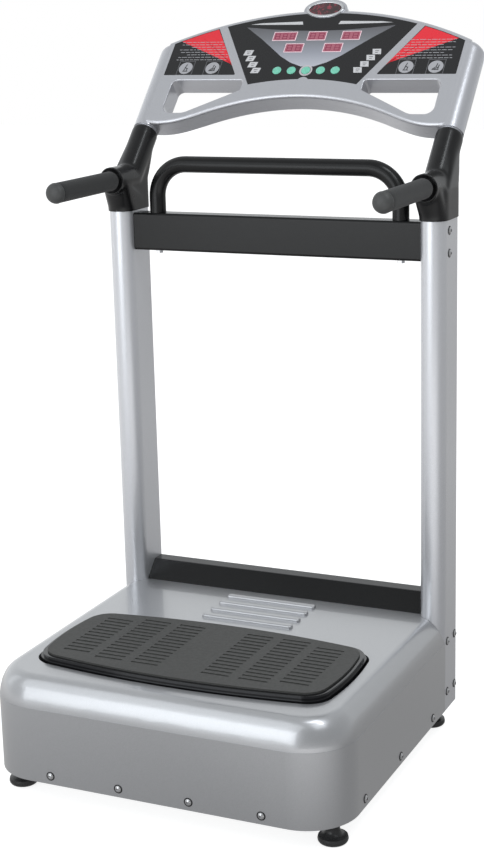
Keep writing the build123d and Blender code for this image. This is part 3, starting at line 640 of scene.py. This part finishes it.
DISPLAYS = [(-69, 125, 48, 20), (0, 125, 37, 20), (72.5, 125, 37, 20),
            (-41.5, 94.5, 37, 20), (41.5, 94.5, 37, 20)]
KEY_PADS = [(137, 83), (128, 68), (119, 52), (108.5, 37)]
PAD_SIZE = (17.5, 13.5)
BUTTON_V = 36.5
RING_RADIUS = 13.6
RING_HOLE = 9.9
RING_STEPS = 48
ICONS = [(206, 0), (266, 1), (-206, 1), (-266, 0)]
ICON_V = 44
ICON_SQUARE = (33, 35)
ICON_RADIUS = 15.0


def fan_material():
    """Print that fades from dark grey at the top to pale blue-grey below."""
    shade = Shade("fan_print", (0.3, 0.3, 0.33), 0.32, spec=0.4)
    height = shade.node("ShaderNodeSeparateXYZ")
    shade.link(shade.coords, height.inputs["Vector"])
    spread = shade.node("ShaderNodeMapRange")
    spread.inputs["From Min"].default_value = on_face(0, 47, 0).z
    spread.inputs["From Max"].default_value = on_face(0, 150, 0).z
    shade.link(height.outputs["Z"], spread.inputs["Value"])
    stops = [(0.0, (0.42, 0.43, 0.48)), (0.35, (0.27, 0.28, 0.32)), (0.7, (0.16, 0.165, 0.18)),
             (1.0, (0.10, 0.10, 0.11))]
    shade.link(shade.ramp(spread.outputs["Result"], stops), shade.surface.inputs["Base Color"])
    shade.bump(shade.noise(2200, 2), 0.00001, 0.4)
    return shade.material


def fan_outline():
    """Shield-shaped fan: hollow top edge and sides that draw in to the middle button."""
    right = [(160, 150), (120, 120), (84, 90), (64, 73), (39, 57), (14, 46.7)]
    top = [(-160, 150), (-107, 144), (-54, 139.5), (0, 138), (54, 139.5), (107, 144)]
    return top + right + [(-u, v) for u, v in right[:0:-1]]


def fan(material):
    """The fan with openings cut over the displays."""
    builder = bmesh.new()
    outline = fan_outline()
    add_patch(builder, outline, FILM, -0.24)
    piece = new_piece("fan_print", builder, smooth=False)
    cutter = bmesh.new()
    for u, v, wide, tall in DISPLAYS:
        add_patch(cutter, box_outline(u, v, wide, tall), -3.0, 3.0)
    tool = new_piece("fan_cutter", cutter, smooth=False)
    modifier = piece.modifiers.new("openings", "BOOLEAN")
    modifier.object = tool
    modifier.operation = "DIFFERENCE"
    modifier.solver = "EXACT"
    graph = bpy.context.evaluated_depsgraph_get()
    cut = bpy.data.meshes.new_from_object(piece.evaluated_get(graph))
    piece.modifiers.clear()
    piece.data = cut
    bpy.data.objects.remove(tool)
    return dress(piece, "label_film", material)


def side_print_outline(side):
    """Red wedge in a side label, with its curved upper edge."""
    centre_v, radius = -491.0, 674.0
    first = math.degrees(math.acos(221.5 / radius))
    last = math.degrees(math.acos(296.0 / radius))
    arc = arc_points((0, centre_v), radius, first, last, 6)
    wedge = arc + [(160.3, 51.0), (163.0, 49.5)]
    return [(side * u, v) for u, v in wedge]


def text_rows(side):
    """Rows of short dashes that stand for printed instructions."""
    rows = []
    pattern = [9, 5, 13, 7, 11, 4, 8, 12, 6, 10]
    for row in range(8):
        v = 112.0 - row * 6.6
        start = 200.0 - row * 3.5 + (6 if row % 3 == 1 else 0)
        limit = 296.0 - (18 if row % 3 == 2 else 0)
        u = start
        index = row * 3
        while u + pattern[index % 10] < limit:
            wide = pattern[index % 10]
            rows.append([(side * a, b) for a, b in box_outline(u + wide / 2, v, wide, 1.2)])
            u += wide + 2.2
            index += 1
    return rows


def icon_pieces(u, v, kind):
    """Outlined square with a disc and an abstract figure."""
    square = bmesh.new()
    add_border(square, box_outline(u, v, *ICON_SQUARE), 1.0, FILM, -0.18)
    disc = bmesh.new()
    add_patch(disc, arc_points((u, v), ICON_RADIUS, 0, 351, 39), FILM, -0.2)
    glyph = bmesh.new()
    strokes = {
        0: [((-4, -8), (5, -8)), ((-3, -8), (-1, 1)), ((-1, 1), (4, -1)), ((4, -1), (3, -6)),
            ((-1, 2), (1, 9))],
        1: [((-6, -7), (6, -7)), ((5, -6), (6, 4)), ((-5, -5), (1, 0)), ((1, 0), (2, 7)),
            ((-2, -6), (5, -1))],
    }[kind]
    for start, end in strokes:
        a = (u + start[0], v + start[1])
        b = (u + end[0], v + end[1])
        add_stroke(glyph, a, b, 2.0, -0.2, -0.14)
    return square, disc, glyph


def seven_segment(u, v, wide, tall, digits):
    """Start and end of every unlit number segment inside one display."""
    strokes = []
    pitch = wide / digits
    for index in range(digits):
        x = u - wide / 2 + pitch * (index + 0.5)
        w, h = pitch * 0.27, tall * 0.32
        strokes += [((x - w, v + h), (x + w, v + h)), ((x - w, v), (x + w, v)),
                    ((x - w, v - h), (x + w, v - h)), ((x - w, v - h), (x - w, v)),
                    ((x - w, v), (x - w, v + h)), ((x + w, v - h), (x + w, v)),
                    ((x + w, v), (x + w, v + h))]
    return strokes


def make_graphics():
    """All prints on the labels: wedges, dashes, lines, fan, pads, windows, ring and icons."""
    red = film("red_print", (0.68, 0.022, 0.036), 0.3)
    silver = silver_lacquer("silver_print", (0.72, 0.72, 0.74), 0.4)
    grey = film("grey_print", (0.34, 0.34, 0.36), 0.4)
    faint = film("faint_print", (0.13, 0.13, 0.14), 0.4)
    pale = film("pale_print", (0.46, 0.43, 0.45), 0.4)
    dark = film("dark_print", (0.03, 0.03, 0.032), 0.35)
    segment = film("segment_print", (0.22, 0.02, 0.06), 0.3)
    window = film("window_border", (0.85, 0.62, 0.68), 0.35)

    printed("red_wedge_right", [side_print_outline(1)], red)
    printed("red_wedge_left", [side_print_outline(-1)], red)
    printed("text_rows_right", text_rows(1), grey, top=-0.15)
    printed("text_rows_left", text_rows(-1), grey, top=-0.15)
    line = [(38, 155), (41, 163), (128, 160.5), (153, 157.2), (120, 156)]
    printed("silver_lines", [line, [(-u, v) for u, v in line]], silver)
    fan(fan_material())

    builder = bmesh.new()
    for u, v in KEY_PADS:
        for side in (-1, 1):
            add_patch(builder, box_outline(side * u, v, *PAD_SIZE, -1.5 * side), FILM, -0.12)
    pads = new_piece("key_pads", builder, smooth=False)
    soften = pads.modifiers.new("soften", "BEVEL")
    soften.width = 0.00005
    dress(pads, "label_film", silver)
    builder = bmesh.new()
    for u, v in KEY_PADS:
        for side in (-1, 1):
            add_stroke(builder, (side * u - 3.5, v + 2), (side * u + 3.5, v + 2), 1.3, -0.12, -0.07)
            add_stroke(builder, (side * u - 2, v - 2.5), (side * u + 2, v - 2.5), 1.3, -0.12, -0.07)
    dress(new_piece("key_marks", builder, smooth=False), "label_film", dark)

    builder = bmesh.new()
    for u, v, wide, tall in DISPLAYS:
        add_border(builder, box_outline(u, v, wide, tall), 1.5, FILM, -0.1)
    dress(new_piece("display_borders", builder, smooth=False), "label_film", window)
    builder = bmesh.new()
    for u, v, wide, tall in DISPLAYS:
        for start, end in seven_segment(u, v, wide, tall, 3 if wide > 40 else 2):
            add_stroke(builder, start, end, 1.5, -0.41, -0.3)
    dress(new_piece("number_segments", builder, smooth=False), "display_red", segment)

    builder = bmesh.new()
    last = 360 - 360 / RING_STEPS
    ring = arc_points((0, BUTTON_V), RING_RADIUS, 0, last, RING_STEPS - 1)
    hole = arc_points((0, BUTTON_V), RING_HOLE, 0, last, RING_STEPS - 1)
    for index in range(RING_STEPS):
        after = (index + 1) % RING_STEPS
        add_patch(builder, [hole[index], ring[index], ring[after], hole[after]], FILM, -0.2)
    dress(new_piece("middle_ring", builder, smooth=False), "label_film", pale)

    for index, (u, kind) in enumerate(ICONS):
        square, disc, glyph = icon_pieces(u, ICON_V, kind)
        dress(new_piece(f"icon_square_{index}", square, smooth=False), "label_film", faint)
        dress(new_piece(f"icon_disc_{index}", disc, smooth=False), "label_film", grey)
        dress(new_piece(f"icon_mark_{index}", glyph, smooth=False), "label_film", dark)


# ---- camera, floor and light --------------------------------------------------------
CAMERA_AZIMUTH = 25.05      # degrees
CAMERA_ELEVATION = 14.16
CAMERA_ROLL = -1.53
CAMERA_PLACE = (1.3319, -2.7573, 1.4279)    # metres about the middle of the base
CAMERA_LENS = 72.98
LAMP_COLOR = (0.93, 0.97, 1.0)
BOUNCE_NEAR = 0.50          # strength of the floor's bounce light beside the base
BOUNCE_FAR = 0.9
BOUNCE_LEFT = 1.15
BOUNCE_RIGHT = 0.57
POOL_PLACE = (1.25, -2.1, 0.0)
POOL_REACH = 1.9
POOL_GAIN = 1.5
WORLD_X = (1.25, 0.65)      # left, right
WORLD_Y = (0.58, 0.98)      # front, behind
WORLD_Z = (1.0, 0.85)       # horizon, overhead


def make_camera():
    """A camera at the height of the console, turned to the right-hand side."""
    azimuth = math.radians(CAMERA_AZIMUTH)
    elevation = math.radians(CAMERA_ELEVATION)
    roll = math.radians(CAMERA_ROLL)
    back = Vector((
        math.sin(azimuth) * math.cos(elevation),
        -math.cos(azimuth) * math.cos(elevation),
        math.sin(elevation),
    ))
    level = Vector((0, 0, 1)).cross(back).normalized()
    upright = back.cross(level)
    right = level * math.cos(roll) + upright * math.sin(roll)
    up = upright * math.cos(roll) - level * math.sin(roll)
    data = bpy.data.cameras.new("camera")
    data.sensor_width = 36.0
    data.lens = CAMERA_LENS
    camera = bpy.data.objects.new("camera", data)
    x, y, z = CAMERA_PLACE
    camera.matrix_world = Matrix((
        (right.x, up.x, back.x, x),
        (right.y, up.y, back.y, BASE_Y + y),
        (right.z, up.z, back.z, z),
        (0, 0, 0, 1),
    ))
    bpy.context.scene.collection.objects.link(camera)
    bpy.context.scene.camera = camera


def make_floor():
    """White floor whose bounce light is dimmer by the base and to the right, with a bright pool."""
    builder = bmesh.new()
    bmesh.ops.create_grid(builder, x_segments=1, y_segments=1, size=14.0)
    floor = new_piece("floor", builder)
    shade = Shade("floor_white", (0.5, 0.5, 0.5), 0.8, spec=0.1)
    shade.tint(shade.noise(0.6, 2), [(0.3, 0.99), (0.7, 1.01)])
    shade.set("Emission Color", (1, 1, 1, 1))
    shade.set("Emission Strength", 0.82)
    radius = shade.node("ShaderNodeVectorMath", operation="LENGTH")
    shade.link(shade.coords, radius.inputs[0])
    near = shade.remap(radius.outputs["Value"], (0.45, 2.4), (BOUNCE_NEAR, BOUNCE_FAR))
    split = shade.node("ShaderNodeSeparateXYZ")
    shade.link(shade.coords, split.inputs["Vector"])
    side = shade.remap(split.outputs["X"], (-1.2, 1.2), (BOUNCE_LEFT, BOUNCE_RIGHT))
    product = shade.node("ShaderNodeMath", operation="MULTIPLY")
    shade.link(near, product.inputs[0])
    shade.link(side, product.inputs[1])
    spot = shade.node("ShaderNodeVectorMath", operation="DISTANCE")
    spot.inputs[1].default_value = POOL_PLACE
    shade.link(shade.coords, spot.inputs[0])
    pool = shade.remap(spot.outputs["Value"], (0.3, POOL_REACH), (POOL_GAIN, 0.0))
    total = shade.node("ShaderNodeMath", operation="ADD")
    shade.link(product.outputs[0], total.inputs[0])
    shade.link(pool, total.inputs[1])
    bounce = shade.node("ShaderNodeEmission")
    shade.link(total.outputs[0], bounce.inputs["Strength"])
    mix = shade.node("ShaderNodeMixShader")
    seen = shade.node("ShaderNodeLightPath").outputs["Is Camera Ray"]
    output = shade.tree.nodes["Material Output"]
    shade.link(seen, mix.inputs[0])
    shade.link(bounce.outputs[0], mix.inputs[1])
    shade.link(shade.surface.outputs[0], mix.inputs[2])
    shade.link(mix.outputs[0], output.inputs["Surface"])
    floor.data.materials.append(shade.material)


def soft_box(name, place, aim, size, power):
    """Rectangular soft light at a place in metres, facing its aim."""
    data = bpy.data.lights.new(name, "AREA")
    data.shape = "RECTANGLE"
    data.size, data.size_y = size
    data.energy = power
    data.color = LAMP_COLOR
    lamp = bpy.data.objects.new(name, data)
    lamp.location = place
    direction = Vector(aim) - Vector(place)
    lamp.rotation_euler = direction.to_track_quat("-Z", "Y").to_euler()
    bpy.context.scene.collection.objects.link(lamp)


def studio_world():
    """White backdrop; its light is strongest behind the object and weakest on the right."""
    world = bpy.data.worlds.new("studio")
    world.use_nodes = True
    nodes, links = world.node_tree.nodes, world.node_tree.links
    white = nodes["Background"]
    white.inputs["Color"].default_value = (1, 1, 1, 1)
    coords = nodes.new("ShaderNodeTexCoord")
    split = nodes.new("ShaderNodeSeparateXYZ")
    links.new(coords.outputs["Generated"], split.inputs["Vector"])
    total = None
    for axis, low, high in (("X", *WORLD_X), ("Y", *WORLD_Y), ("Z", *WORLD_Z)):
        ramp = nodes.new("ShaderNodeMapRange")
        ramp.inputs["From Min"].default_value = -1.0 if axis != "Z" else 0.0
        ramp.inputs["To Min"].default_value = low
        ramp.inputs["To Max"].default_value = high
        links.new(split.outputs[axis], ramp.inputs["Value"])
        if total is None:
            total = ramp.outputs["Result"]
            continue
        product = nodes.new("ShaderNodeMath")
        product.operation = "MULTIPLY"
        links.new(total, product.inputs[0])
        links.new(ramp.outputs["Result"], product.inputs[1])
        total = product.outputs[0]
    glow = nodes.new("ShaderNodeBackground")
    glow.inputs["Color"].default_value = (0.96, 0.985, 1.0, 1)
    links.new(total, glow.inputs["Strength"])
    mix = nodes.new("ShaderNodeMixShader")
    path = nodes.new("ShaderNodeLightPath")
    links.new(path.outputs["Is Camera Ray"], mix.inputs[0])
    links.new(glow.outputs[0], mix.inputs[1])
    links.new(white.outputs[0], mix.inputs[2])
    links.new(mix.outputs[0], nodes["World Output"].inputs["Surface"])
    bpy.context.scene.world = world


def make_light():
    """Soft boxes in front, at the side and above, and the studio world."""
    soft_box("front_high", (-0.75, -2.1, 2.1), (0, -0.4, 0.3), (2.8, 1.8), 15)
    soft_box("front_low", (-0.9, -3.3, 1.1), (0, -0.4, 0.4), (2.4, 1.6), 27)
    soft_box("left", (-3.2, -0.6, 1.6), (0, 0, 0.8), (0.8, 2.2), 3)
    soft_box("right_high", (1.5, -0.5, 3.3), (0, 0.2, 1.0), (0.35, 1.5), 14)
    soft_box("right_wide", (1.9, -1.2, 2.6), (0.35, -0.4, 0.2), (1.2, 1.2), 7)
    soft_box("overhead", (0.9, -0.7, 3.2), (0.35, -0.45, 0.2), (0.6, 0.6), 6)
    studio_world()
    bpy.context.scene.view_settings.view_transform = "Standard"


dress_frame()
make_grips()
make_screw_shade_rings()
make_graphics()
make_camera()
make_floor()
make_light()
